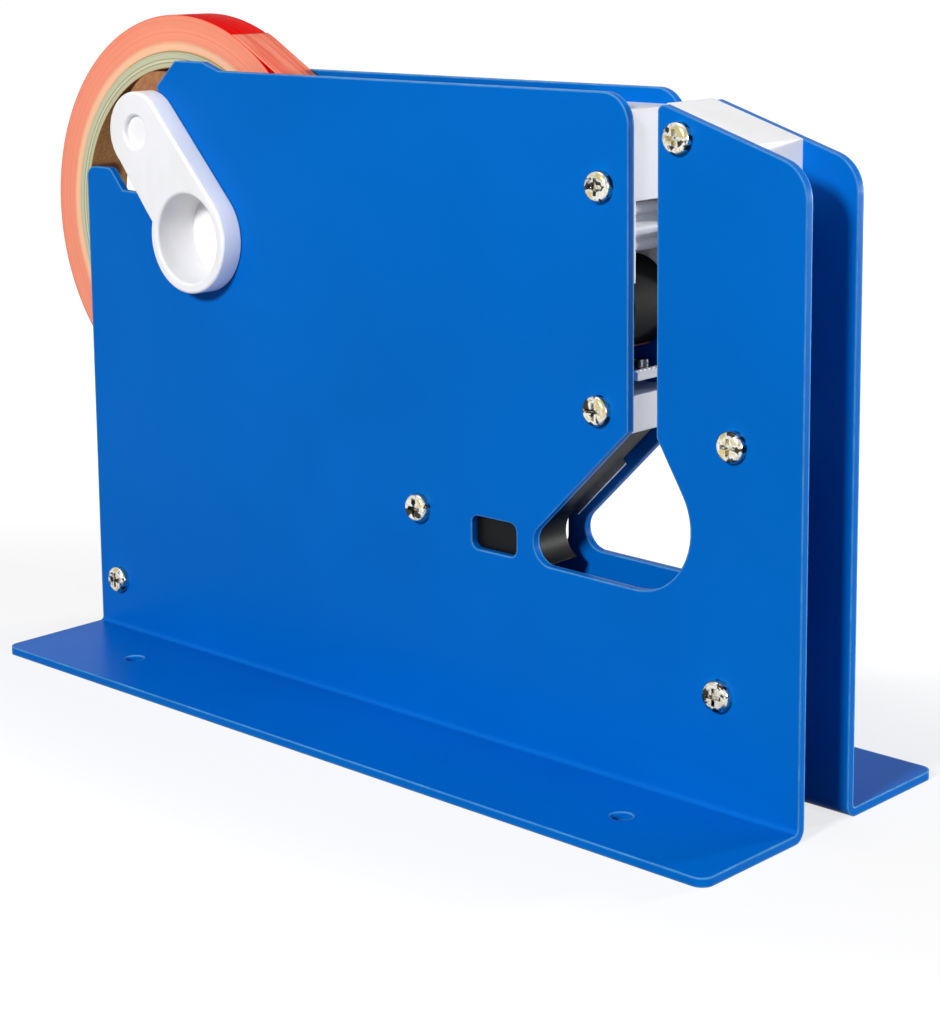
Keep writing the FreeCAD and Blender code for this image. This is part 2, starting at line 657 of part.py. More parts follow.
front_screws = screw_row("front_screws")
back_screws = mirrored("back_screws", front_screws)
SCREW_BORE = "screw_shank_radius + fit_clearance"
spacer_tubes = compound("spacer_tubes", [
    ring(f"spacer_{number}", "spacer_radius", SCREW_BORE, INNER, across, up)
    for number, (across, up) in enumerate(SPACER_PLACES)
])


# Roll arms: one outside each plate, with a deep cup at the pivot and a round upper end

ARM_ANGLE = "atan2(spindle_rise; -spindle_back)"
ARM_SPREAD = "acos((cup_radius - arm_end_radius) / hypot(spindle_back; spindle_rise))"
ARM_FACE = f"({OUTER} + arm_clearance)"


def roll_arm():
    body = new_body("front_roll_arm", f"-{ARM_FACE}")

    spindle = (SPINDLE_X, SPINDLE_Z)
    pivot = ("pivot_from_rear", "pivot_height")

    def around(centre, radius, angle):
        across, up = centre
        return f"{across} + {radius} * cos({angle})", f"{up} + {radius} * sin({angle})"

    nose_side = f"({ARM_ANGLE} - {ARM_SPREAD})"
    rear_side = f"({ARM_ANGLE} + {ARM_SPREAD})"
    bar = new_sketch(body)
    draw_outline(bar, [
        around(spindle, "arm_end_radius", nose_side),
        around(spindle, "arm_end_radius", rear_side),
        ("pivot_from_rear - arm_waist_back", "pivot_height + arm_waist_rise"),
        around(pivot, f"{COVERED} * cup_radius", "arm_waist_angle * 1 deg"),
        pivot,
        around(pivot, "cup_radius", nose_side),
    ])
    pad(body, bar, "arm_thickness")
    for centre, radius in ((spindle, "arm_end_radius"), (pivot, "cup_radius")):
        end = new_sketch(body)
        draw_circle(end, *centre, radius)
        pad(body, end, "arm_thickness")
    hub = new_sketch(body)
    draw_circle(hub, *pivot, "hub_radius")
    pad(body, hub, f"{ARM_FACE} - hub_end_gap", other_way=True)
    neck = new_sketch(body)
    draw_circle(neck, *spindle, "spindle_neck_radius")
    pad(body, neck, "sheet_gauge + arm_clearance", other_way=True)

    recess = new_sketch(body, offset="arm_thickness")
    draw_circle(recess, *pivot, "cup_recess_radius")
    pocket(body, recess, "cup_depth")
    dimple = new_sketch(body, offset="arm_thickness")
    draw_circle(dimple, *spindle, "dimple_radius")
    pocket(body, dimple, "dimple_depth")
    pin_hole = new_sketch(body, offset="-(sheet_gauge + arm_clearance)")
    draw_circle(pin_hole, *spindle, "spindle_pin_radius + fit_clearance")
    pocket(body, pin_hole, "sheet_gauge + arm_clearance + spindle_pin_depth", other_way=True)
    dowel_hole = new_sketch(body, offset=f"-({ARM_FACE} - hub_end_gap)")
    draw_circle(dowel_hole, *pivot, "dowel_radius + fit_clearance")
    pocket(body, dowel_hole, "dowel_depth", other_way=True)

    face = -size("arm_thickness")

    def on_face(edge, middle):
        return edge.BoundBox.YLength < 1e-4 and abs(middle.y - face) < 1e-3

    fillet(body, on_face, "cup_edge")
    return body


front_roll_arm = roll_arm()
back_roll_arm = mirrored("back_roll_arm", front_roll_arm)
DOWEL_END = "(hub_end_gap + dowel_depth - pin_end_gap)"
hub_dowel = cylinder(
    "hub_dowel", "dowel_radius", f"2 * {DOWEL_END}", "pivot_from_rear", f"-{DOWEL_END}", "pivot_height")
PIN_END = f"({ARM_FACE} + spindle_pin_depth - pin_end_gap)"
spindle_pin = cylinder(
    "spindle_pin", "spindle_pin_radius", f"2 * {PIN_END}", SPINDLE_X, f"-{PIN_END}", SPINDLE_Z)
spindle_drum = ring(
    "spindle_drum", "drum_radius", "spindle_pin_radius + fit_clearance", f"{INNER} - drum_side_gap",
    SPINDLE_X, SPINDLE_Z)


# The roll hangs on the drum by its core's bore, and leans towards the pull of the tape

HANG = "(core_bore_radius - drum_radius - hang_clearance)"
ROLL_X = f"({SPINDLE_X} + {HANG} * sin(roll_lean * 1 deg))"
ROLL_Z = f"({SPINDLE_Z} - {HANG} * cos(roll_lean * 1 deg))"
roll_core = ring(
    "roll_core", "core_bore_radius + core_wall", "core_bore_radius", "tape_width / 2 + core_overhang",
    ROLL_X, ROLL_Z)
tape_roll = ring(
    "tape_roll", "roll_radius", "core_bore_radius + core_wall + fit_clearance", "tape_width / 2",
    ROLL_X, ROLL_Z)


# Guides: moulded blocks between the plates, bored for the screws

def block(label, outline, holes):
    """An outline as thick as the gap between the plates, with round holes right through."""
    body = new_body(label, INNER)
    face = new_sketch(body)
    draw_outline(face, outline)
    pad(body, face, "plate_gap")
    bores = new_sketch(body)
    for across, up, radius in holes:
        draw_circle(bores, across, up, radius)
    pocket(body, bores)
    return body


WHEEL_X = f"({GUIDE_FACE} - wheel_inset - wheel_tip_radius)"
ROLLER_X = f"({GUIDE_FACE} - roller_inset - roller_radius)"
CHEEK = f"({INNER} - cheek_thickness)"


def upper_guide():
    rear = f"({GUIDE_FACE} - upper_guide_length)"
    top = "plate_height - upper_guide_top_gap"
    cheek_foot = f"{ROLLER_Z} - cheek_drop"
    face_foot = f"{ROLLER_Z} + guide_face_rise"
    body = block("upper_guide_body", [
        (rear, cheek_foot),
        (f"{GUIDE_FACE} - cheek_setback", cheek_foot),
        (f"{GUIDE_FACE} - cheek_setback", face_foot),
        (GUIDE_FACE, face_foot),
        (GUIDE_FACE, top),
        (rear, top),
    ], [
        (*SCREW_PLACES[1], SCREW_BORE),
        (WHEEL_X, WHEEL_Z, "wheel_pin_radius + fit_clearance"),
        (ROLLER_X, ROLLER_Z, "roller_pin_radius + fit_clearance"),
    ])
    room = box("upper_guide_room", [
        (f"{rear} - {SPARE}", f"{GUIDE_FACE} + {SPARE}"),
        (f"-{CHEEK}", CHEEK),
        (f"{cheek_foot} - {SPARE}", POCKET_TOP),
    ])
    return cut("upper_guide", body, [room])


def lobed_wheel():
    half = f"({CHEEK} - wheel_side_gap)"
    parts = [cylinder("wheel_root", "wheel_root_radius", f"2 * {half}", WHEEL_X, f"-{half}", WHEEL_Z)]
    lobes = 6
    for turn in range(lobes):
        angle = f"({360 / lobes * turn} deg)"
        reach = "(wheel_tip_radius - wheel_lobe_radius)"
        parts.append(cylinder(
            f"wheel_lobe_{turn}", "wheel_lobe_radius", f"2 * {half}",
            f"{WHEEL_X} + {reach} * cos({angle})", f"-{half}", f"{WHEEL_Z} + {reach} * sin({angle})"))
    bore = cylinder(
        "wheel_bore", "wheel_pin_radius + fit_clearance", f"2 * ({half} + {SPARE})",
        WHEEL_X, f"-{half} - {SPARE}", WHEEL_Z)
    return cut("lobed_wheel", fuse("wheel_lobes", parts), [bore])


def block_pin(label, radius, across, up):
    """A pin as long as a guide is thick."""
    half = f"({INNER} - pin_end_gap)"
    return cylinder(label, radius, f"2 * {half}", across, f"-{half}", up)


upper_guide_block = upper_guide()
wheel = lobed_wheel()
lobed_wheel_pin = block_pin("lobed_wheel_pin", "wheel_pin_radius", WHEEL_X, WHEEL_Z)
tape_roller = ring(
    "tape_roller", "roller_radius", "roller_core_radius + fit_clearance", f"{CHEEK} - wheel_side_gap",
    ROLLER_X, ROLLER_Z)
tape_roller_core = ring(
    "tape_roller_core", "roller_core_radius", "roller_pin_radius + fit_clearance",
    f"{CHEEK} - wheel_side_gap", ROLLER_X, ROLLER_Z)
tape_roller_pin = block_pin("tape_roller_pin", "roller_pin_radius", ROLLER_X, ROLLER_Z)


# The free strip of tape: straight from the top of the roll, then round the underside of the roller

def tape_strip():
    def place(text_x, text_z):
        probe = doc.addObject("Part::Vertex", "probe")
        bind(probe, "X", f"{REAR} + {text_x}")
        bind(probe, "Z", text_z)
        doc.recompute()
        point = Vector(float(probe.X), 0, float(probe.Z))
        doc.removeObject(probe.Name)
        return point

    roll = place(ROLL_X, ROLL_Z)
    roller = place(ROLLER_X, ROLLER_Z)
    thickness = size("strip_thickness")
    half_width = size("tape_width") / 2
    span = roller - roll
    roll_reach = size("roll_radius") + size("strip_gap") + thickness / 2
    roller_reach = size("roller_radius") + size("strip_gap") + thickness / 2
    angle = math.atan2(span.z, span.x) - math.asin((roll_reach + roller_reach) / span.Length)
    normal = Vector(-math.sin(angle), 0, math.cos(angle))
    start = roll + normal * roll_reach
    turn = roller - normal * roller_reach
    first = angle - math.pi / 2
    last = -math.radians(size("strip_end_angle"))

    def around(radius, at):
        return roller + Vector(radius * math.cos(at), 0, radius * math.sin(at))

    inner = roller_reach - thickness / 2
    outer = roller_reach + thickness / 2
    shift = normal * (thickness / 2)
    edges = [
        Part.LineSegment(start + shift, turn + shift).toShape(),
        Part.Arc(turn + shift, around(inner, (first + last) / 2), around(inner, last)).toShape(),
        Part.LineSegment(around(inner, last), around(outer, last)).toShape(),
        Part.Arc(around(outer, last), around(outer, (first + last) / 2), turn - shift).toShape(),
        Part.LineSegment(turn - shift, start - shift).toShape(),
        Part.LineSegment(start - shift, start + shift).toShape(),
    ]
    face = Part.Face(Part.Wire(edges))
    strip = doc.addObject("Part::Feature", "tape_strip")
    strip.Shape = face.extrude(Vector(0, 2 * half_width, 0))
    strip.Placement = Placement(Vector(0, -half_width, 0), Rotation())
    print(f"tape strip: {math.degrees(angle):.1f} degrees, {(turn - start).Length:.1f} mm free")
    return strip


strip = tape_strip()


# Lower guide with the sprung lever that carries the tape knife

LOWER_REAR = f"({GUIDE_FACE} - lower_guide_length)"
LEVER_X = f"({LOWER_REAR} + lever_pin_ahead)"
LEVER_Z = f"({LOWER_TOP} + lever_pin_rise)"
LEVER_SIDE = f"({INNER} - lever_ear_thickness - wheel_side_gap)"
LEVER_TIP = f"({GUIDE_FACE} - lever_tip_gap)"
KNIFE_TIP = f"({GUIDE_FACE} - knife_tip_gap)"


def lower_guide():
    ear_top = f"{LOWER_TOP} + lever_ear_rise"
    body = block("lower_guide_body", [
        (LOWER_REAR, LOWER_FOOT),
        (GUIDE_FACE, LOWER_FOOT),
        (GUIDE_FACE, LOWER_TOP),
        (f"{LOWER_REAR} + lever_ear_length", LOWER_TOP),
        (f"{LOWER_REAR} + lever_ear_length", ear_top),
        (LOWER_REAR, ear_top),
    ], [
        (*SCREW_PLACES[2], SCREW_BORE),
        (LEVER_X, LEVER_Z, "wheel_pin_radius + fit_clearance"),
    ])
    room = box("lower_guide_room", [
        (f"{LOWER_REAR} - {SPARE}", f"{LOWER_REAR} + lever_ear_length + {SPARE}"),
        (f"-({INNER} - lever_ear_thickness)", f"{INNER} - lever_ear_thickness"),
        (LOWER_TOP, f"{ear_top} + {SPARE}"),
    ])
    return cut("lower_guide", body, [room])


def knife_screw_places():
    across = f"{KNIFE_TIP} - knife_screw_back"
    return [(across, "-knife_screw_spread"), (across, "knife_screw_spread")]


def upright(label, radius, length, across, along, base):
    """A cylinder along +Z."""
    thing = doc.addObject("Part::Cylinder", label)
    bind(thing, "Radius", radius)
    bind(thing, "Height", length)
    bind(thing, "Placement.Base.x", f"{REAR} + {across}")
    bind(thing, "Placement.Base.y", along)
    bind(thing, "Placement.Base.z", base)
    return thing


def knife_lever():
    knuckle_y = f"(-{LEVER_SIDE} + lever_knuckle_start)"
    bar_start = f"({LEVER_X} + lever_knuckle_radius + lever_neck)"
    knuckle = cylinder(
        "lever_knuckle", "lever_knuckle_radius", f"{LEVER_SIDE} - {knuckle_y}", LEVER_X, knuckle_y, LEVER_Z)
    web = box("lever_web", [
        (LEVER_X, f"{bar_start} + lever_neck"), (knuckle_y, LEVER_SIDE), (LEVER_FOOT, LEVER_TOP)])
    bar = box("lever_bar", [
        (bar_start, LEVER_TIP), (f"-{LEVER_SIDE}", LEVER_SIDE), (LEVER_FOOT, LEVER_TOP)])
    bore = cylinder(
        "lever_bore", "wheel_pin_radius + fit_clearance", f"2 * ({LEVER_SIDE} + {SPARE})", LEVER_X,
        f"-{LEVER_SIDE} - {SPARE}", LEVER_Z)
    holes = [
        upright(f"lever_screw_hole_{number}", "blade_screw_radius + fit_clearance",
                f"lever_thickness + {2 * SPARE}", across, along, f"{LEVER_FOOT} - {SPARE}")
        for number, (across, along) in enumerate(knife_screw_places())
    ]
    return cut("knife_lever", fuse("lever_solid", [knuckle, web, bar]), [bore, *holes])


def tape_knife():
    """A flat blade on top of the lever, with a row of teeth towards the slot."""
    body = doc.addObject("PartDesign::Body", "tape_knife_body")
    bind(body, "Placement.Base.x", REAR)
    bind(body, "Placement.Base.z", LEVER_TOP)
    teeth = int(size("tape_width") / size("knife_tooth_pitch"))
    side = f"({teeth} * knife_tooth_pitch / 2)"
    points = [(f"{KNIFE_TIP} - knife_length", f"-{side}")]
    for tooth in range(teeth):
        start = f"-{side} + {tooth} * knife_tooth_pitch"
        points.append((f"{KNIFE_TIP} - knife_tooth", start))
        points.append((KNIFE_TIP, f"{start} + knife_tooth_pitch / 2"))
    points.append((f"{KNIFE_TIP} - knife_tooth", side))
    points.append((f"{KNIFE_TIP} - knife_length", side))
    face = new_sketch(body, "XY_Plane")
    draw_outline(face, points)
    pad(body, face, "knife_gauge")
    holes = [
        upright(f"knife_hole_{number}", "blade_screw_radius + fit_clearance", f"knife_gauge + {2 * SPARE}",
                across, along, f"{LEVER_TOP} - {SPARE}")
        for number, (across, along) in enumerate(knife_screw_places())
    ]
    return cut("tape_knife", body, holes)


def tape_knife_screws():
    screws = []
    for number, (across, along) in enumerate(knife_screw_places()):
        top = f"({LEVER_TOP} + knife_gauge)"
        head = upright(
            f"knife_screw_head_{number}", "blade_screw_head_radius", "blade_screw_head_rise",
            across, along, top)
        shank = upright(
            f"knife_screw_shank_{number}", "blade_screw_radius", "knife_screw_length + knife_gauge",
            across, along, f"{top} - knife_screw_length - knife_gauge")
        screws.append(fuse(f"knife_screw_{number}", [head, shank]))
    return compound("tape_knife_screws", screws)


def lever_spring():
    """The torsion spring's envelope round the lever's pin, beside the knuckle, as a plain sleeve."""
    start = f"(-{LEVER_SIDE} + spring_end_gap)"
    length = "(spring_coils * spring_pitch)"
    sleeve = cylinder(
        "spring_outside", "wheel_pin_radius + spring_slack + spring_wire", length, LEVER_X, start, LEVER_Z)
    bore = cylinder(
        "spring_bore", "wheel_pin_radius + spring_slack", f"{length} + {2 * SPARE}", LEVER_X,
        f"{start} - {SPARE}", LEVER_Z)
    return cut("knife_lever_spring", sleeve, [bore])


lower_guide_block = lower_guide()
lever = knife_lever()
knife_lever_pin = block_pin("knife_lever_pin", "wheel_pin_radius", LEVER_X, LEVER_Z)
knife_lever_spring = lever_spring()
knife = tape_knife()
knife_screws = tape_knife_screws()


# Trimmer: a dark block behind the slanted edge of the opening, with a fixed blade along that edge

HOLDER_REAR = f"({SLOT} - trimmer_screw_back - holder_rear)"
HOLDER_FOOT = "(throat_height - holder_drop)"
HOLDER_TOP = f"({LOWER_FOOT} - holder_headroom)"
SEAT_Y = f"({INNER} - holder_step)"


def trimmer_block():
    shoulder = "throat_height + holder_shoulder_rise"
    body = block("trimmer_block_body", [
        (HOLDER_REAR, HOLDER_FOOT),
        (SLOT_REAR, HOLDER_FOOT),
        (SLOT_REAR, HOLDER_TOP),
        (f"{SLOT_REAR} - holder_top_length", HOLDER_TOP),
        (f"{HOLDER_REAR} + holder_shoulder_length", shoulder),
        (HOLDER_REAR, shoulder),
    ], [(*SCREW_PLACES[3], SCREW_BORE)])
    edge = new_sketch(body)
    corner, along = draw_throat(edge, "holder_margin")
    pocket(body, edge)
    seat = new_sketch(body)
    draw_outline(seat, [
        (f"{HOLDER_REAR} + holder_thick_length", f"{HOLDER_FOOT} - {SPARE}"),
        (f"{SLOT_REAR} + {SPARE}", f"{HOLDER_FOOT} - {SPARE}"),
        (f"{SLOT_REAR} + {SPARE}", f"{HOLDER_TOP} + {SPARE}"),
        (f"{HOLDER_REAR} + holder_thick_length", f"{HOLDER_TOP} + {SPARE}"),
    ])
    pocket(body, seat, "holder_step", other_way=True)
    rear = Vector(-size("plate_length") / 2, 0, 0)
    inward = Vector(along.y, 0, -along.x)
    start = rear + Vector(corner.x, 0, corner.y) - inward * size("holder_margin")
    return body, start, Vector(along.x, 0, along.y), inward


def blade_screw_spots(start, along, inward):
    """Where the trimming blade's two screws stand, from the blade's edge and ends."""
    from_edge = inward * (size("blade_proud") - size("blade_screw_up"))
    inset = size("blade_screw_inset")
    ends = (inset, size("blade_length") - inset)
    return [start + along * (size("blade_start") + end) + from_edge for end in ends]


def trimmer_blade(spots, start, along, inward):
    """A flat blade with a ground edge, laid on the block's seat."""
    low = start + along * size("blade_start") + inward * size("blade_proud")
    across = along * size("blade_length")
    up = inward * -size("blade_width")
    gauge = Vector(0, size("blade_gauge"), 0)
    bevel = inward * -size("blade_bevel")
    section = [low, low + up, low + up + gauge, low + bevel + gauge]
    face = Part.Face(Part.makePolygon([*section, section[0]]))
    blade = doc.addObject("Part::Feature", "trimmer_blade_plate")
    blade.Shape = face.extrude(across)
    bind(blade, "Placement.Base.y", SEAT_Y)
    holes = [
        cylinder(f"blade_hole_{number}", "blade_screw_radius + fit_clearance", f"blade_gauge + {2 * SPARE}",
                 f"plate_length / 2 + {spot.x:.5f}", f"{SEAT_Y} - {SPARE}", f"{spot.z:.5f}")
        for number, spot in enumerate(spots)
    ]
    return cut("trimmer_blade", blade, holes)


def trimmer_blade_screws(spots):
    screws = []
    for number, spot in enumerate(spots):
        across = f"plate_length / 2 + {spot.x:.5f}"
        head = cylinder(
            f"blade_screw_head_{number}", "blade_screw_head_radius", "blade_screw_head_rise",
            across, f"{SEAT_Y} + blade_gauge", f"{spot.z:.5f}")
        shank = cylinder(
            f"blade_screw_shank_{number}", "blade_screw_radius", "blade_screw_length + blade_gauge",
            across, f"{SEAT_Y} - blade_screw_length", f"{spot.z:.5f}")
        screws.append(fuse(f"blade_screw_{number}", [head, shank]))
    return compound("trimmer_blade_screws", screws)


holder_body, edge_start, edge_along, edge_inward = trimmer_block()
blade_spots = blade_screw_spots(edge_start, edge_along, edge_inward)
holder = cut("trimmer_block", holder_body, [
    cylinder(f"holder_hole_{number}", "blade_screw_radius + fit_clearance", f"blade_screw_length + {SPARE}",
             f"plate_length / 2 + {spot.x:.5f}", f"{SEAT_Y} - blade_screw_length - pin_end_gap",
             f"{spot.z:.5f}")
    for number, spot in enumerate(blade_spots)
])
blade = trimmer_blade(blade_spots, edge_start, edge_along, edge_inward)
blade_screws = trimmer_blade_screws(blade_spots)


# Nose guide: a moulded block flush with the plates' slanted edges, with a stem along the slot

def nose_guide():
    fall = "((nose_drop_end - nose_drop_start) / (slot_to_nose - slot_width / 2))"

    def top(beyond):
        return f"plate_height - nose_drop_start - {fall} * ({beyond})"

    stem_foot = f"{THROAT_TOP} + nose_stem_rise"
    wide_foot = "plate_height - nose_drop_start - nose_guide_depth"
    return block("nose_guide", [
        (NOSE_FACE, stem_foot),
        (f"{NOSE_FACE} + nose_stem_width", stem_foot),
        (f"{NOSE_FACE} + nose_stem_width", wide_foot),
        (f"{SLOT_NOSE} + nose_guide_length", wide_foot),
        (f"{SLOT_NOSE} + nose_guide_length", top("nose_guide_length")),
        (NOSE_FACE, top("guide_setback")),
    ], [(*SCREW_PLACES[4], SCREW_BORE)])


nose_guide_block = nose_guide()
doc.recompute()

PIECES = [
    front_side_plate, back_side_plate, front_screws, back_screws, spacer_tubes,
    front_roll_arm, back_roll_arm, hub_dowel, spindle_pin, spindle_drum, roll_core, tape_roll, strip,
    upper_guide_block, wheel, lobed_wheel_pin, tape_roller, tape_roller_core, tape_roller_pin,
    lower_guide_block, lever, knife_lever_pin, knife_lever_spring, knife, knife_screws,
    holder, blade, blade_screws, nose_guide_block,
]

for thing in doc.Objects:
    if "Invalid" in thing.State or "Error" in thing.State:
        raise RuntimeError(f"{thing.Label} is {thing.State}")
for piece in PIECES:
    if piece.Shape.isNull() or not piece.Shape.isValid():
        raise RuntimeError(f"{piece.Label}: no valid shape")

os.makedirs("parts", exist_ok=True)
for piece in PIECES:
    piece.Shape.exportStep(f"parts/{piece.Label}.step")
    bounds = piece.Shape.BoundBox
    print(f"{piece.Label}: {len(piece.Shape.Solids)} solids, {piece.Shape.Volume:.0f} mm3, "
          f"x {bounds.XMin:.1f} {bounds.XMax:.1f}, y {bounds.YMin:.1f} {bounds.YMax:.1f}, "
          f"z {bounds.ZMin:.1f} {bounds.ZMax:.1f}")
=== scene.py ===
import json
import math

import bmesh
import bpy
from mathutils import Matrix, Vector

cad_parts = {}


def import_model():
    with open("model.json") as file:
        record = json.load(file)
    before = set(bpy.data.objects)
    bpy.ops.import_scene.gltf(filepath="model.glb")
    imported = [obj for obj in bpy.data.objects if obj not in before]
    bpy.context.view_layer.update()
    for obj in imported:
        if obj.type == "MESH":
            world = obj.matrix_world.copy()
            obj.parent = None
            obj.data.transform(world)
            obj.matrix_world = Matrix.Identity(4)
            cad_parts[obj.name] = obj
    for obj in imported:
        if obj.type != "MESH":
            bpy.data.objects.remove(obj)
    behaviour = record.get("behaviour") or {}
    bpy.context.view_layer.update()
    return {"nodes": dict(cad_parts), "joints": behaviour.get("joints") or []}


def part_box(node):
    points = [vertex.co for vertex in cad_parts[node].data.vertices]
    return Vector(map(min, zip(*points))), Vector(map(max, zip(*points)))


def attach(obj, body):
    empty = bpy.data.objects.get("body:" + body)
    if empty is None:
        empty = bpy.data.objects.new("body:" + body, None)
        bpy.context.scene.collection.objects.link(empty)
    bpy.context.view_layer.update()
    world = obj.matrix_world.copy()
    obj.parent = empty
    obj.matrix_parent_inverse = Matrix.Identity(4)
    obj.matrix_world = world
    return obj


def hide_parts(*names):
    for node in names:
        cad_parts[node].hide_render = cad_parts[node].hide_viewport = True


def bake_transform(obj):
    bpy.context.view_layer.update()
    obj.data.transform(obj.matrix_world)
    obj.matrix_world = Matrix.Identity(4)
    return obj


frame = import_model()
nodes = frame["nodes"]
joints = {joint["name"]: joint for joint in frame["joints"]}

# Lengths are in metres. X runs from the roll to the nose, Y from the front plate to the back, Z up.
MM = 0.001

# Sizes of the pieces that the scene draws itself
CORE_WALL = 4 * MM
FILM_THICKNESS = 0.12 * MM
FILM_GAP = 0.12 * MM
SPRING_WIRE = 0.5 * MM
SPRING_TURNS = 4

# Colours as they look on the object, red, green and blue from 0 to 255
BLUE = (0, 104, 197)
BLUE_DEEP = (0, 100, 190)
# Painted highlight colour for the plates' edges
BLUE_EDGE_HIGHLIGHT = (106, 176, 222)
WHITE = (243, 243, 247)
WHITE_WARM = (239, 239, 240)
BLACK = (9, 11, 12)
# Painted highlight colour for the black nylon's edges
BLACK_EDGE_HIGHLIGHT = (25, 27, 28)
RUBBER = (8, 10, 10)
RUBBER_PALE = (18, 20, 20)
ZINC = (222, 222, 216)
ZINC_GOLD = (200, 184, 136)
# Painted dark reflections in the zinc screw heads
ZINC_DARK_REFLECTION = (58, 56, 48)
STEEL = (176, 178, 182)
STEEL_DULL = (160, 162, 166)
SPRING_BRIGHT = (196, 196, 200)
BLADE = (208, 210, 214)
BLADE_DULL = (190, 192, 198)
TAPE_RED = (230, 14, 10)
TAPE_DARK = (196, 8, 8)
TAPE_BRIGHT = (240, 30, 20)
TAPE_SIDE = (250, 154, 124)
TAPE_SIDE_PALE = (252, 198, 160)
TAPE_SIDE_DEEP = (242, 124, 100)
TAPE_FREE = (238, 112, 90)
TAPE_FREE_PALE = (246, 152, 124)
CORE_EDGE = (196, 199, 168)
CORE_EDGE_PALE = (208, 209, 184)
CORE_EDGE_DARK = (168, 160, 116)
CORE_BORE = (168, 118, 68)
CORE_BORE_DARK = (138, 94, 52)
CORE_SEAM = (92, 62, 34)
DRUM = (170, 112, 66)
DRUM_DARK = (142, 90, 50)
FLOOR = (138, 138, 139)


def linear(color):
    """A display colour as Blender's linear colour, opaque."""
    def channel(value):
        value /= 255
        return value / 12.92 if value <= 0.04045 else ((value + 0.055) / 1.055) ** 2.4
    return (*(channel(value) for value in color), 1.0)


class Finish:
    """A material under construction, with short calls for its nodes."""

    def __init__(self, name):
        self.material = bpy.data.materials.new(name)
        self.material.use_nodes = True
        self.tree = self.material.node_tree
        self.shader = self.tree.nodes["Principled BSDF"]
        self.place = self.add("ShaderNodeTexCoord").outputs["Object"]

    def add(self, kind, **values):
        """A new node with its settings."""
        node = self.tree.nodes.new(kind)
        for name, value in values.items():
            setattr(node, name, value)
        return node

    def link(self, source, target):
        """Joins one node's output to another's input."""
        self.tree.links.new(source, target)

    def set(self, **values):
        """Sets the shader's own sockets, with underscores for the spaces in their names."""
        for name, value in values.items():
            self.shader.inputs[name.replace("_", " ")].default_value = value

    def noise(self, size, detail=3.0, rough=0.5, stretch=(1, 1, 1)):
        """Noise whose grains are about size metres across."""
        mapping = self.add("ShaderNodeMapping")
        mapping.inputs["Scale"].default_value = [axis / size for axis in stretch]
        self.link(self.place, mapping.inputs["Vector"])
        node = self.add("ShaderNodeTexNoise")
        node.inputs["Scale"].default_value = 1.0
        node.inputs["Detail"].default_value = detail
        node.inputs["Roughness"].default_value = rough
        self.link(mapping.outputs["Vector"], node.inputs["Vector"])
        return node.outputs["Fac"]

    def ramp(self, source, stops):
        """A run of colours. Stops are pairs of place and linear colour."""
        node = self.add("ShaderNodeValToRGB")
        node.color_ramp.interpolation = "EASE"
        elements = node.color_ramp.elements
        while len(elements) < len(stops):
            elements.new(0.5)
        for element, (place, color) in zip(elements, stops):
            element.position = place
            element.color = color
        self.link(source, node.inputs["Fac"])
        return node.outputs["Color"]

    def span(self, source, low, high, start=0.0, end=1.0, kind="LINEAR"):
        """Maps a value from start..end to low..high."""
        node = self.add("ShaderNodeMapRange", interpolation_type=kind)
        for name, value in (("From Min", start), ("From Max", end), ("To Min", low), ("To Max", high)):
            node.inputs[name].default_value = value
        self.link(source, node.inputs["Value"])
        return node.outputs["Result"]

    def math(self, operation, first, second=None):
        """Arithmetic on one or two sockets or numbers."""
        node = self.add("ShaderNodeMath", operation=operation)
        for socket, value in zip(node.inputs, (first, second)):
            if value is None:
                continue
            if isinstance(value, (int, float)):
                socket.default_value = value
            else:
                self.link(value, socket)
        return node.outputs["Value"]

    def mix(self, amount, first, second):
        """The first colour where the amount is zero, and the second where it is one."""
        node = self.add("ShaderNodeMix", data_type="RGBA")
        self.link(amount, node.inputs["Factor"])
        sockets = [socket for socket in node.inputs if socket.type == "RGBA"]
        for socket, value in zip(sockets, (first, second)):
            if isinstance(value, tuple):
                socket.default_value = value
            else:
                self.link(value, socket)
        return next(socket for socket in node.outputs if socket.type == "RGBA")

    def bump(self, source, depth, normal=None):
        """Relief of about depth metres."""
        node = self.add("ShaderNodeBump")
        node.inputs["Distance"].default_value = depth
        node.inputs["Strength"].default_value = 1.0
        self.link(source, node.inputs["Height"])
        if normal:
            self.link(normal, node.inputs["Normal"])
        return node.outputs["Normal"]

    def soft_edges(self, radius):
        """A normal rounded over sharp edges."""
        soft = self.add("ShaderNodeBevel", samples=6)
        soft.inputs["Radius"].default_value = radius
        return soft.outputs["Normal"]

    def edge_mask(self, soft):
        """One where the rounded normal leaves the plain one, and zero on flat faces."""
        plain = self.add("ShaderNodeNewGeometry")
        meet = self.add("ShaderNodeVectorMath", operation="DOT_PRODUCT")
        self.link(soft, meet.inputs[0])
        self.link(plain.outputs["Normal"], meet.inputs[1])
        return self.span(meet.outputs["Value"], 1.0, 0.0, 0.86, 0.995)

    def away_from(self, centre):
        """The way from a centre to the shaded point."""
        away = self.add("ShaderNodeVectorMath", operation="SUBTRACT")
        self.link(self.place, away.inputs[0])
        away.inputs[1].default_value = centre
        return away.outputs["Vector"]

    def length_of(self, vector, weights):
        """A vector's length with each axis weighted."""
        weighted = self.add("ShaderNodeVectorMath", operation="MULTIPLY")
        self.link(vector, weighted.inputs[0])
        weighted.inputs[1].default_value = weights
        length = self.add("ShaderNodeVectorMath", operation="LENGTH")
        self.link(weighted.outputs["Vector"], length.inputs[0])
        return length.outputs["Value"]

    def rings(self, distance, pitch, detail=2.0):
        """Uneven rings about a pitch apart."""
        node = self.add("ShaderNodeTexNoise", noise_dimensions="1D")
        node.inputs["Scale"].default_value = 1.0 / pitch
        node.inputs["Detail"].default_value = detail
        self.link(distance, node.inputs["W"])
        return node.outputs["Fac"]

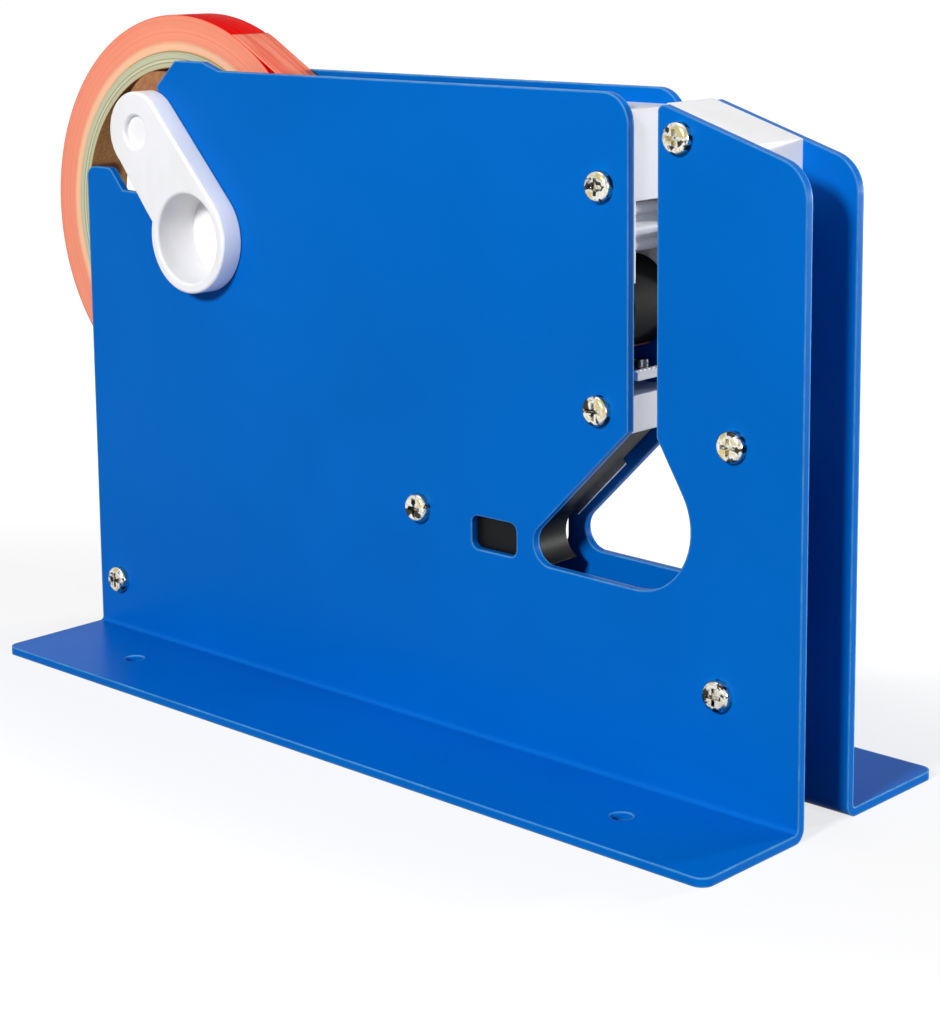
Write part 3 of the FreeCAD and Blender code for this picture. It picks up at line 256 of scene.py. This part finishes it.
    def finish(self, color, roughness, normal):
        """Links what varies over the surface, and gives the material."""
        for name, value in (("Base Color", color), ("Roughness", roughness), ("Normal", normal)):
            self.link(value, self.shader.inputs[name])
        return self.material


def powder_coat():
    """Powder coat with a faint orange peel, and a painted highlight along the sheet's edges."""
    paint = Finish("powder_coat")
    paint.set(Specular_IOR_Level=0.035)
    soft = paint.soft_edges(0.75 * MM)
    edge = paint.edge_mask(soft)
    cloud = paint.noise(60 * MM, detail=2.0)
    body = paint.ramp(cloud, [(0.3, linear(BLUE_DEEP)), (0.7, linear(BLUE))])
    # Painted highlight: the sheet's edges are lightened in patches broken up by noise
    edge_highlight = paint.math("MULTIPLY", edge, paint.span(paint.noise(4 * MM), 0.55, 0.95, 0.35, 0.65))
    color = paint.mix(edge_highlight, body, linear(BLUE_EDGE_HIGHLIGHT))
    peel = paint.bump(paint.noise(1.6 * MM, detail=1.0), 0.018 * MM, soft)
    rough = paint.span(paint.noise(12 * MM), 0.27, 0.36)
    return paint.finish(color, rough, peel)


def white_nylon():
    """Satin moulded nylon with a slight glow and faint flow marks."""
    nylon = Finish("white_nylon")
    nylon.set(Subsurface_Weight=0.08, Subsurface_Radius=(1.0, 0.95, 0.9), Subsurface_Scale=1.0 * MM,
              Specular_IOR_Level=0.35)
    soft = nylon.soft_edges(0.3 * MM)
    flow = nylon.noise(9 * MM, detail=2.0, stretch=(1, 1, 0.4))
    color = nylon.ramp(flow, [(0.35, linear(WHITE_WARM)), (0.6, linear(WHITE))])
    grain = nylon.bump(nylon.noise(0.5 * MM, detail=2.0), 0.012 * MM, soft)
    return nylon.finish(color, nylon.span(nylon.noise(5 * MM), 0.36, 0.48), grain)


def black_nylon():
    """Black moulded nylon with a painted highlight along its edges."""
    plastic = Finish("black_nylon")
    plastic.set(Specular_IOR_Level=0.12)
    soft = plastic.soft_edges(0.3 * MM)
    # Painted highlight: the edges are lightened
    shade = plastic.mix(plastic.edge_mask(soft), linear(BLACK), linear(BLACK_EDGE_HIGHLIGHT))
    relief = plastic.bump(plastic.noise(0.6 * MM), 0.02 * MM, soft)
    return plastic.finish(shade, plastic.span(plastic.noise(6 * MM), 0.36, 0.48), relief)


def drum_plastic():
    """Fibre-filled plastic, mottled."""
    plastic = Finish("brown_plastic")
    fibres = plastic.noise(1.6 * MM, detail=4.0, rough=0.6, stretch=(1, 0.4, 1))
    color = plastic.ramp(fibres, [(0.3, linear(DRUM_DARK)), (0.7, linear(DRUM))])
    relief = plastic.bump(fibres, 0.03 * MM)
    return plastic.finish(color, plastic.span(fibres, 0.4, 0.55), relief)


def rubber():
    """Ground rubber with fine marks round the roller."""
    tread = Finish("black_rubber")
    tread.set(Specular_IOR_Level=0.1)
    marks = tread.noise(0.7 * MM, detail=4.0, stretch=(0.6, 3, 0.6))
    color = tread.ramp(marks, [(0.3, linear(RUBBER)), (0.8, linear(RUBBER_PALE))])
    return tread.finish(color, tread.span(marks, 0.6, 0.8), tread.bump(marks, 0.06 * MM))


def metal(name, color, tint, roughness, grain, dark=None, stretch=(1, 1, 1)):
    """Bright metal in small clouds of its colour, a tint and, where given, a dark tone painted in as dark
    reflections.
    """
    steel = Finish(name)
    steel.set(Metallic=1.0)
    soft = steel.soft_edges(0.2 * MM)
    cloud = steel.noise(2.2 * MM, detail=2.0)
    # Where a dark tone is given, its clouds are painted dark reflections
    shade = steel.ramp(cloud, [(0.4, linear(dark or color)), (0.5, linear(color)), (0.66, linear(tint))])
    marks = steel.noise(grain, detail=3.0, stretch=stretch)
    rough = steel.span(marks, roughness - 0.06, roughness + 0.08)
    return steel.finish(shade, rough, steel.bump(marks, 0.01 * MM, soft))


def core_board(centre, bore):
    """Spiral wound board: pressed layers on its ends, a helical seam and brown liner in its bore."""
    seam_twist = 130.0  # radians round the axis for each metre along it
    board = Finish("core_board")
    board.set(Specular_IOR_Level=0.2)
    away = board.away_from(centre)
    distance = board.length_of(away, (1, 0, 1))
    layers = board.rings(distance, 0.55 * MM)
    fuzz = board.noise(0.8 * MM, detail=4.0, rough=0.7)
    ends = board.ramp(layers, [(0.32, linear(CORE_EDGE_DARK)), (0.46, linear(CORE_EDGE)),
                               (0.75, linear(CORE_EDGE_PALE))])
    split = board.add("ShaderNodeSeparateXYZ")
    board.link(away, split.inputs[0])
    turn = board.math("ARCTAN2", split.outputs["Z"], split.outputs["X"])
    helix = board.math("ADD", board.math("MULTIPLY", split.outputs["Y"], seam_twist), turn)
    seam = board.math("ABSOLUTE", board.math("SINE", board.math("MULTIPLY", helix, 0.5)))
    groove = board.span(seam, 1.0, 0.0, 0.0, 0.08)
    liner = board.ramp(fuzz, [(0.3, linear(CORE_BORE_DARK)), (0.7, linear(CORE_BORE))])
    liner = board.mix(groove, liner, linear(CORE_SEAM))
    in_bore = board.span(distance, 1.0, 0.0, bore + 0.15 * MM, bore + 0.4 * MM)
    color = board.mix(in_bore, ends, liner)
    relief = board.math("SUBTRACT", board.math("MULTIPLY", layers, 0.6), board.math("MULTIPLY", groove, 0.5))
    rough = board.span(fuzz, 0.78, 0.92)
    return board.finish(color, rough, board.bump(board.math("ADD", relief, fuzz), 0.08 * MM))


def tape_side(centre, inner, outer):
    """The wound roll's flat side: rings of film edges, paler near the core, dark where they meet it."""
    side = Finish("tape_side")
    side.set(Specular_IOR_Level=0.1, Subsurface_Weight=0.1,
             Subsurface_Radius=(1.0, 0.4, 0.3), Subsurface_Scale=1.5 * MM)
    distance = side.length_of(side.away_from(centre), (1, 0, 1))
    depth = side.span(distance, 0.0, 1.0, inner, outer)
    broad = side.ramp(depth, [
        (0.0, linear(CORE_EDGE_DARK)), (0.035, linear(CORE_EDGE_DARK)), (0.06, linear(TAPE_SIDE_PALE)),
        (0.2, linear(TAPE_SIDE_PALE)), (0.36, linear(TAPE_SIDE)), (0.9, linear(TAPE_SIDE)),
        (1.0, linear(TAPE_SIDE_DEEP))])
    coarse = side.rings(distance, 1.3 * MM)
    fine = side.rings(distance, 0.16 * MM, detail=3.0)
    cloud = side.noise(22 * MM, detail=2.0)
    deep = side.span(side.math("MULTIPLY", coarse, side.span(cloud, 0.7, 1.3)), 0.0, 0.4, 0.45, 0.8)
    color = side.mix(deep, broad, linear(TAPE_SIDE_DEEP))
    relief = side.bump(side.math("ADD", side.math("MULTIPLY", coarse, 0.6), fine), 0.05 * MM)
    return side.finish(color, side.span(fine, 0.34, 0.5), relief)


def tape_face():
    """The outer winding: red film with faint lengthwise stress lines."""
    film = Finish("tape_face")
    film.set(Specular_IOR_Level=0.01)
    lines = film.noise(1.2 * MM, detail=3.0, stretch=(0.05, 1, 0.05))
    color = film.ramp(lines, [(0.3, linear(TAPE_DARK)), (0.5, linear(TAPE_RED)), (0.8, linear(TAPE_BRIGHT))])
    return film.finish(color, film.span(lines, 0.4, 0.55), film.bump(lines, 0.02 * MM))


def tape_free():
    """The free strip: one layer of the same film, slightly see-through."""
    film = Finish("tape_free")
    film.set(Transmission_Weight=0.15, Specular_IOR_Level=0.02, IOR=1.1)
    lines = film.noise(1.2 * MM, detail=3.0, stretch=(0.05, 1, 0.05))
    color = film.ramp(lines, [(0.3, linear(TAPE_FREE)), (0.7, linear(TAPE_FREE_PALE))])
    return film.finish(color, film.span(lines, 0.15, 0.28), film.bump(lines, 0.02 * MM))


def dress(material, *names):
    """Gives CAD nodes a material."""
    for name in names:
        mesh = nodes[name].data
        mesh.materials.clear()
        mesh.materials.append(material)


def new_object(name, data, *materials):
    """An object in the scene around a mesh, curve, camera or light."""
    for material in materials:
        data.materials.append(material)
    thing = bpy.data.objects.new(name, data)
    bpy.context.scene.collection.objects.link(thing)
    return thing


def lathe(name, profile, centre, turns, materials):
    """A closed ring about an axis along Y. The profile holds radius, y and material number."""
    mesh = bpy.data.meshes.new(name)
    made = bmesh.new()
    rows = []
    for turn in range(turns):
        angle = 2 * math.pi * turn / turns
        across, up = math.cos(angle), math.sin(angle)
        rows.append([
            made.verts.new((centre.x + radius * across, centre.y + y, centre.z + radius * up))
            for radius, y, slot in profile])
    count = len(profile)
    for turn in range(turns):
        here, there = rows[turn], rows[(turn + 1) % turns]
        for step in range(count):
            after = (step + 1) % count
            face = made.faces.new((here[step], here[after], there[after], there[step]))
            face.material_index = profile[step][2]
            face.smooth = True
    bmesh.ops.recalc_face_normals(made, faces=made.faces)
    made.to_mesh(mesh)
    made.free()
    return new_object(name, mesh, *materials)


def uneven(step, seed):
    """A repeatable value from -1 to 1 that looks random."""
    return math.sin(step * 12.9898 + seed * 78.233) * 0.6 + math.sin(step * 4.137 + seed * 9.71) * 0.4


def wound_roll(centre, inner, outer, half_width, materials):
    """The roll of tape with its slightly uneven windings and a rounded outer edge."""
    tread, side = 0, 1
    bands = 26
    facets = 160
    proud = 0.07 * MM
    edge = 0.25 * MM
    corner = edge * 0.3
    profile = []
    for sign in (1, -1):
        flank = []
        for step in range(bands + 1):
            radius = inner + (outer - edge - inner) * step / bands
            wave = uneven(step, sign) * proud
            flank.append((radius, sign * (half_width - proud + wave), side))
        if sign == 1:
            profile += flank
            profile.append((outer - corner, sign * (half_width - proud - corner), tread))
            profile.append((outer, sign * (half_width - proud - edge), tread))
        else:
            profile.append((outer, sign * (half_width - proud - edge), tread))
            profile.append((outer - corner, sign * (half_width - proud - corner), side))
            profile += flank[::-1]
    return lathe("tape_roll_windings", profile, centre, facets, materials)


def spring_coil(centre, radius, start, length, material):
    """The coil of the lever's torsion spring, about an axis along Y."""
    steps_per_turn = 24
    curve = bpy.data.curves.new("knife_lever_coil", "CURVE")
    curve.dimensions = "3D"
    curve.bevel_depth = SPRING_WIRE / 2
    curve.bevel_resolution = 4
    curve.use_fill_caps = True
    steps = steps_per_turn * SPRING_TURNS
    points = []
    for step in range(steps + 1):
        angle = math.pi + 2 * math.pi * SPRING_TURNS * step / steps
        points.append(Vector((
            centre.x + radius * math.cos(angle),
            start + length * step / steps,
            centre.z + radius * math.sin(angle))))
    spline = curve.splines.new("POLY")
    spline.points.add(len(points) - 1)
    for point, place in zip(spline.points, points):
        point.co = (*place, 1.0)
    spline.use_smooth = True
    return new_object("knife_lever_coil", curve, material)


def ribbon(name, path, half_width, thickness, material):
    """A thin strip along a path of points in the XZ plane, with its width along Y."""
    mesh = bpy.data.meshes.new(name)
    made = bmesh.new()
    across = (-1.0, -0.5, 0.0, 0.5, 1.0)
    rows = []
    for number, place in enumerate(path):
        ahead = path[min(number + 1, len(path) - 1)] - path[max(number - 1, 0)]
        normal = Vector((-ahead.z, 0, ahead.x)).normalized() * (thickness / 2)
        rows.append([
            [made.verts.new(place + normal * side + Vector((0, part * half_width, 0))) for part in across]
            for side in (1, -1)])
    wide = len(across)
    for here, there in zip(rows, rows[1:]):
        for part in range(wide - 1):
            made.faces.new((here[0][part], here[0][part + 1], there[0][part + 1], there[0][part]))
            made.faces.new((here[1][part], there[1][part], there[1][part + 1], here[1][part + 1]))
        made.faces.new((here[0][0], there[0][0], there[1][0], here[1][0]))
        made.faces.new((here[0][-1], here[1][-1], there[1][-1], there[0][-1]))
    for row in (rows[0], rows[-1]):
        for part in range(wide - 1):
            made.faces.new((row[0][part], row[1][part], row[1][part + 1], row[0][part + 1]))
    bmesh.ops.recalc_face_normals(made, faces=made.faces)
    for face in made.faces:
        face.smooth = True
    made.to_mesh(mesh)
    made.free()
    return new_object(name, mesh, material)


def around(centre, radius, angle):
    """A point at a radius and an angle about an axis along Y."""
    return centre + Vector((radius * math.cos(angle), 0, radius * math.sin(angle)))


def free_strip(roll, roll_radius, roller, roller_radius, half_width):
    """The tape from the top of the roll to the roller and round it to the knife."""
    arc_steps = 12
    straight_steps = 40
    wrap = math.radians(5)
    end_angle = -math.radians(62)
    sag = 0.4 * MM
    roll_reach = roll_radius + FILM_GAP
    roller_reach = roller_radius + FILM_GAP * 2
    span = roller - roll
    angle = math.atan2(span.z, span.x) - math.asin((roll_reach + roller_reach) / span.length)
    normal = Vector((-math.sin(angle), 0, math.cos(angle)))
    leave = roll + normal * roll_reach
    meet = roller - normal * roller_reach
    path = []
    top = angle + math.pi / 2
    for step in range(arc_steps + 1):
        path.append(around(roll, roll_reach, top + wrap * (1 - step / arc_steps)))
    for step in range(1, straight_steps):
        part = step / straight_steps
        path.append(leave.lerp(meet, part) - Vector((0, 0, 4 * sag * part * (1 - part))))
    first = angle - math.pi / 2
    for step in range(arc_steps + 1):
        path.append(around(roller, roller_reach, first + (end_angle - first) * step / arc_steps))
    strip = ribbon("tape_free_strip", path, half_width, FILM_THICKNESS, tape_free())
    return strip, leave, meet


def centre_of(joint):
    """Where a joint turns."""
    return Vector(joints[joint]["pos_m"])


def radius_of(node):
    """The outer radius of a round CAD node."""
    low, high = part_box(node)
    return (high.z - low.z) / 2


# Where the CAD puts the turning pieces
roll_centre = centre_of("roll_spin")
roller_centre = centre_of("roller_spin")
core_radius = radius_of("roll_core")
core_bore = core_radius - CORE_WALL
tape_radius = radius_of("tape_roll")
tape_half_width = (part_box("tape_roll")[1].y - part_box("tape_roll")[0].y) / 2

# Materials for the pieces that the CAD already shapes
nylon = white_nylon()
# The zinc's dark clouds are painted dark reflections
zinc = metal("bright_zinc", ZINC, ZINC_GOLD, 0.2, 0.6 * MM, dark=ZINC_DARK_REFLECTION)
steel = metal("plain_steel", STEEL, STEEL_DULL, 0.3, 0.5 * MM, stretch=(1, 8, 1))
blade = metal("blade_steel", BLADE, BLADE_DULL, 0.2, 0.5 * MM, stretch=(0.1, 1, 2))
red_film = tape_face()
dress(powder_coat(), "front_side_plate", "back_side_plate")
dress(nylon, "front_roll_arm", "back_roll_arm", "upper_guide", "lobed_wheel", "lower_guide",
      "nose_guide", "tape_roller_core", "knife_lever")
dress(zinc, "front_screws", "back_screws", "trimmer_blade_screws", "tape_knife_screws")
dress(steel, "spacer_tubes", "spindle_pin", "lobed_wheel_pin", "tape_roller_pin", "knife_lever_pin",
      "knife_lever_spring", "hub_dowel")
dress(blade, "trimmer_blade", "tape_knife")
dress(black_nylon(), "trimmer_block")
dress(drum_plastic(), "spindle_drum")
dress(rubber(), "tape_roller")
dress(core_board(roll_centre, core_bore), "roll_core")
dress(red_film, "tape_roll", "tape_strip")

# Pieces that stand for CAD nodes
windings = wound_roll(
    roll_centre, core_radius, tape_radius, tape_half_width,
    (red_film, tape_side(roll_centre, core_radius, tape_radius)))
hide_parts("tape_roll")
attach(windings, "roll")

strip, strip_leaves, strip_meets = free_strip(
    roll_centre, tape_radius, roller_centre, radius_of("tape_roller"), tape_half_width)
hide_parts("tape_strip")
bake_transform(strip)

spring_low, spring_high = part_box("knife_lever_spring")
coil = spring_coil(
    centre_of("lever_press"), radius_of("knife_lever_spring") - SPRING_WIRE / 2,
    spring_low.y + SPRING_WIRE / 2, spring_high.y - spring_low.y - SPRING_WIRE,
    metal("spring_steel", STEEL, SPRING_BRIGHT, 0.22, 0.4 * MM))
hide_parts("knife_lever_spring")
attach(coil, "root")

# The camera where the photograph was taken from, from the frame's origin, and its angles in degrees
CAMERA_PLACE = (0.38553, -0.39373, 0.1894)
CAMERA_YAW = 43.329
CAMERA_PITCH = 9.3
CAMERA_ROLL = -0.543
IMAGE_HEIGHT = 1024
FOCAL_PIXELS = 2348.6
CENTRE_ROW = 309.1


def camera():
    """The camera with the photograph's place, angles, lens and crop."""
    data = bpy.data.cameras.new("camera")
    thing = new_object("camera", data)
    turn = (
        Matrix.Rotation(math.radians(CAMERA_YAW), 4, "Z")
        @ Matrix.Rotation(math.radians(90 - CAMERA_PITCH), 4, "X")
        @ Matrix.Rotation(math.radians(CAMERA_ROLL), 4, "Z"))
    thing.matrix_world = Matrix.Translation(CAMERA_PLACE) @ turn
    data.lens = FOCAL_PIXELS * data.sensor_width / IMAGE_HEIGHT
    data.shift_y = (CENTRE_ROW - IMAGE_HEIGHT / 2) / IMAGE_HEIGHT
    data.clip_start = 0.01
    bpy.context.scene.camera = thing


def area_light(name, place, target, size, power):
    """A round white lamp that faces a target."""
    data = bpy.data.lights.new(name, "AREA")
    data.shape = "DISK"
    data.size = size
    data.energy = power
    thing = new_object(name, data)
    away = Vector(place) - Vector(target)
    thing.matrix_world = Matrix.Translation(place) @ away.to_track_quat("Z", "Y").to_matrix().to_4x4()


def seen_directly(tree):
    """One for the eye, in metal and through film, and zero where a surface lights the object."""
    path = tree.nodes.new("ShaderNodeLightPath")
    total = path.outputs["Is Camera Ray"]
    for name in ("Is Glossy Ray", "Is Transmission Ray"):
        larger = tree.nodes.new("ShaderNodeMath")
        larger.operation = "MAXIMUM"
        tree.links.new(total, larger.inputs[0])
        tree.links.new(path.outputs[name], larger.inputs[1])
        total = larger.outputs[0]
    return total


def floor():
    """A plain floor that keeps the object's shadow and turns white away from it."""
    near, far = 0.06, 0.17
    near_glow, far_glow = 0.74, 1.0
    squeeze = (0.4, 1.0, 0.0)
    reach = 6.0
    drop = 0.05 * MM
    mesh = bpy.data.meshes.new("floor")
    mesh.from_pydata(
        [(-reach, -reach, 0), (reach, -reach, 0), (reach, reach, 0), (-reach, reach, 0)], [], [(0, 1, 2, 3)])
    plain = Finish("floor")
    plain.set(Base_Color=linear(FLOOR), Roughness=0.8, Specular_IOR_Level=0.0,
              Emission_Color=(1, 1, 1, 1))
    distance = plain.length_of(plain.place, squeeze)
    glow = plain.span(distance, near_glow, far_glow, near, far, kind="SMOOTHSTEP")
    seen = plain.math("MULTIPLY", glow, seen_directly(plain.tree))
    plain.link(seen, plain.shader.inputs["Emission Strength"])
    thing = new_object("floor", mesh, plain.material)
    thing.location.z = -drop


def world():
    """White where it is seen, and dim as a light."""
    light = 0.08
    surroundings = bpy.data.worlds.new("world")
    bpy.context.scene.world = surroundings
    surroundings.use_nodes = True
    tree = surroundings.node_tree
    background = tree.nodes["Background"]
    background.inputs["Color"].default_value = (1, 1, 1, 1)
    level = tree.nodes.new("ShaderNodeMapRange")
    level.inputs["To Min"].default_value = light
    level.inputs["To Max"].default_value = 1.0
    tree.links.new(seen_directly(tree), level.inputs["Value"])
    tree.links.new(level.outputs["Result"], background.inputs["Strength"])


camera()
floor()
world()
area_light("key", (0.20, -1.10, 0.62), target=(0, 0, 0.06), size=0.22, power=13.8)
area_light("side", (1.25, 0.0, 0.24), target=(0, 0, 0.08), size=0.10, power=6.5)
area_light("back", (0.48, 1.05, 0.14), target=(0.07, 0, 0.10), size=0.14, power=13)
area_light("top", (-0.10, -0.10, 1.20), target=(0, 0, 0.05), size=0.6, power=2.4)

scene = bpy.context.scene
scene.view_settings.view_transform = "Standard"
